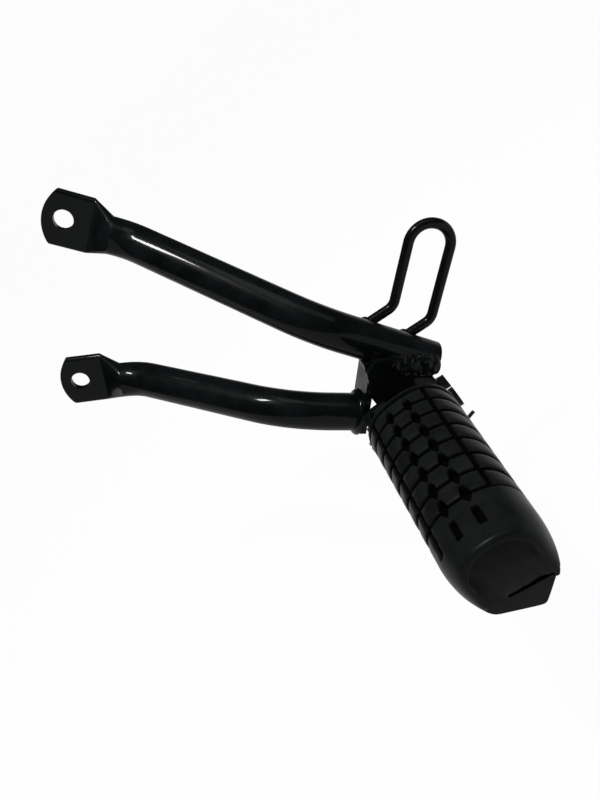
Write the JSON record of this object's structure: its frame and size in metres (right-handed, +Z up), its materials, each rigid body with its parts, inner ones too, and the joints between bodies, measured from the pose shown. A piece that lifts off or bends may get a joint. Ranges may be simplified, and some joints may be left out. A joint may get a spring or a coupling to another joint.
{
  "type": "folding passenger footrest",
  "caption": "Left-hand folding footrest: bent tube stays with flattened bolt ends, a welded hinge clevis, a rod loop and a treaded rubber peg.",
  "frame": {"origin": "centre of the upper bolt hole, on the tab's inboard face that lies against the bike's frame", "axes": "+X forward on the bike, +Y outboard along the bolt holes, +Z up with the tread level"},
  "size_m": [0.2499, 0.24, 0.2068],
  "materials": {
    "black_paint": "gloss black paint",
    "plated_steel": "dull zinc",
    "forged_arm": "satin black paint",
    "bush_bronze": "plain",
    "peg_rubber": "matt"
  },
  "bodies": {
    "hanger": {"upper_stay_tube": "black_paint", "lower_stay_tube": "black_paint", "gusset_plate": "black_paint", "clevis_bracket": "black_paint", "guard_loop": "black_paint", "clevis_seam_weld": "black_paint", "lower_stay_weld": "black_paint", "gusset_weld": "black_paint", "loop_front_weld": "black_paint", "loop_rear_weld": "black_paint", "hinge_pin": "plated_steel", "pin_washer": "plated_steel", "retaining_clip": "plated_steel", "thrust_washer": "plated_steel", "pressure_spring": "plated_steel"},
    "peg": {"peg_arm": "forged_arm", "pivot_bush": "bush_bronze", "peg_rubber": "peg_rubber"}
  },
  "joints": [
    {"name": "peg_fold", "type": "hinge", "parent": "hanger", "child": "peg", "pos_m": [-0.0949, 0.12, -0.1745], "axis": [1, 0, 0], "range_deg": [0, 75]}
  ]
}
